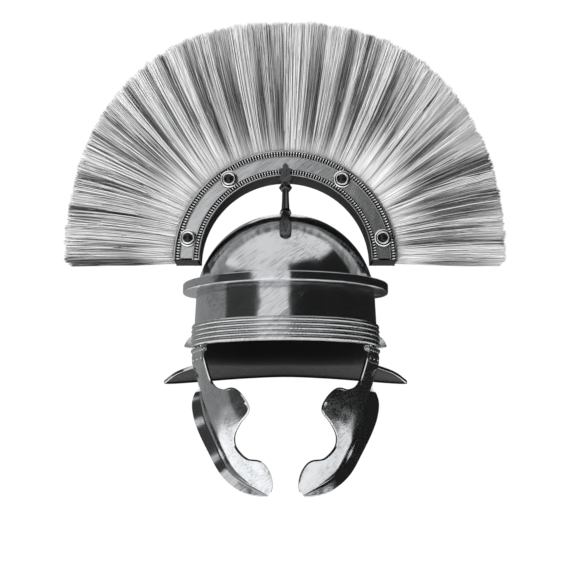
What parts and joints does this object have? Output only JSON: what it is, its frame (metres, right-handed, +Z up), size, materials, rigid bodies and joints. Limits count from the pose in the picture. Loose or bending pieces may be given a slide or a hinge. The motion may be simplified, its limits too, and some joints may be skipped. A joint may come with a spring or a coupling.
{
  "type": "roman officer's helmet with transverse crest",
  "caption": "Deep iron bowl with flared neck guard, brow bar, hinged cheek pieces and an arched crest box holding a wide fan of hair.",
  "frame": {"origin": "centre of the head opening, in the plane of the front rim", "axes": "+Z up through the crown, the helmet faces -Y, the wearer's left is +X"},
  "size_m": [0.4837, 0.299, 0.5242],
  "materials": {
    "iron": "hand-polished iron",
    "tinned": "tinned, dull polish",
    "enamel": "black enamel, glossy",
    "horsehair": "dry hair"
  },
  "bodies": {
    "helmet": {"skull": "iron", "brow_guard": "iron", "hinge_pin_left": "iron", "hinge_pin_right": "iron", "crest_fork": "tinned", "brow_band": "tinned", "ear_guard_left": "tinned", "ear_guard_right": "tinned", "hinge_upper_left": "tinned", "hinge_upper_right": "tinned", "crest_box": "tinned", "boss_upper_left": "tinned", "boss_lower_left": "tinned", "boss_upper_right": "tinned", "boss_lower_right": "tinned", "stud_upper_left": "enamel", "stud_lower_left": "enamel", "stud_upper_right": "enamel", "stud_lower_right": "enamel", "crest_hair": "horsehair"},
    "cheek_left": {"cheek_piece_left": "iron", "hinge_lower_left": "tinned"},
    "cheek_right": {"cheek_piece_right": "iron", "hinge_lower_right": "tinned"}
  },
  "joints": [
    {"name": "cheek_left_hinge", "type": "hinge", "parent": "helmet", "child": "cheek_left", "pos_m": [0.0922, -0.035, -0.0039], "axis": [-0.2709, -0.9626, 0], "range_deg": [-4, 100]},
    {"name": "cheek_right_hinge", "type": "hinge", "parent": "helmet", "child": "cheek_right", "pos_m": [-0.0922, -0.035, -0.0039], "axis": [-0.2709, 0.9626, 0], "range_deg": [-4, 100]}
  ]
}
